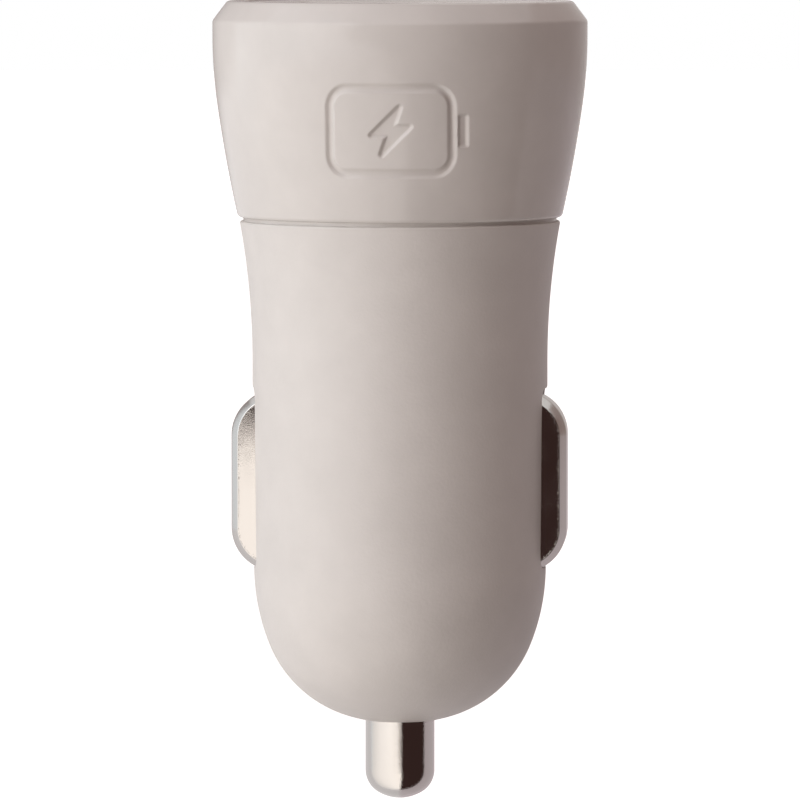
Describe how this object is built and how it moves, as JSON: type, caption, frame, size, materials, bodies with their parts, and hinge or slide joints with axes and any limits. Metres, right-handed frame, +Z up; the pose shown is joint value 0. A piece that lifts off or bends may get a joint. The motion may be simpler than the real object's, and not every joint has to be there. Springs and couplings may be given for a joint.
{
  "type": "car usb charger plug",
  "caption": "Car charger plug with a wide gloss head, a USB port in its top, a rounded barrel, sprung side contacts and a sprung centre tip.",
  "frame": {"origin": "the end of the centre tip, on the axis", "axes": "+Z up the axis from the tip to the head and its port, +X through the right side contact, -Y towards the head's front"},
  "size_m": [0.0262, 0.0262, 0.056],
  "materials": {
    "head_plastic": "gloss, warm light grey",
    "body_plastic": "satin, finely speckled warm light grey",
    "plate_plastic": "satin, warm light grey",
    "contact_chrome": "polished nickel",
    "port_steel": "bright plated sheet",
    "port_plastic": "black moulding",
    "contact_gold": "thin gold plating",
    "board_green": "green lacquered board",
    "ferrite": "sintered dark grey",
    "copper_wire": "enamelled copper wire",
    "can_sleeve": "dark sleeve",
    "chip_epoxy": "black epoxy",
    "fuse_body": "pale ceramic",
    "carrier_plastic": "natural white moulding",
    "strip_brass": "stamped strip",
    "spring_wire": "bright drawn wire"
  },
  "bodies": {
    "plug": {"head_shell": "head_plastic", "body_shell": "body_plastic", "face_plate": "plate_plastic", "usb_shell": "port_steel", "usb_insulator": "port_plastic", "usb_contact_1": "contact_gold", "usb_contact_2": "contact_gold", "usb_contact_3": "contact_gold", "usb_contact_4": "contact_gold", "circuit_board": "board_green", "inductor_core": "ferrite", "inductor_winding": "copper_wire", "input_capacitor": "can_sleeve", "output_capacitor": "can_sleeve", "controller_chip": "chip_epoxy", "rectifier_diode": "chip_epoxy", "board_fuse": "fuse_body", "chip_resistors": "chip_epoxy", "contact_carrier": "carrier_plastic", "ground_strap": "strip_brass", "left_contact_spring": "spring_wire", "right_contact_spring": "spring_wire", "tip_spring": "spring_wire", "tip_terminal": "strip_brass"},
    "tip": {"centre_tip": "contact_chrome"},
    "right_side_contact": {"right_contact": "contact_chrome"},
    "left_side_contact": {"left_contact": "contact_chrome"}
  },
  "joints": [
    {"name": "tip_press", "type": "slide", "parent": "plug", "child": "tip", "axis": [0, 0, 1], "range_m": [0, 0.0028], "stiffness_N_per_m": 1000, "springref_m": -0.003, "deforming": ["tip_spring"]},
    {"name": "right_contact_press", "type": "slide", "parent": "plug", "child": "right_side_contact", "axis": [-1, 0, 0], "range_m": [0, 0.0014], "stiffness_N_per_m": 800, "springref_m": -0.002, "deforming": ["right_contact_spring"]},
    {"name": "left_contact_press", "type": "slide", "parent": "plug", "child": "left_side_contact", "axis": [1, 0, 0], "range_m": [0, 0.0014], "stiffness_N_per_m": 800, "springref_m": -0.002, "deforming": ["left_contact_spring"]}
  ]
}
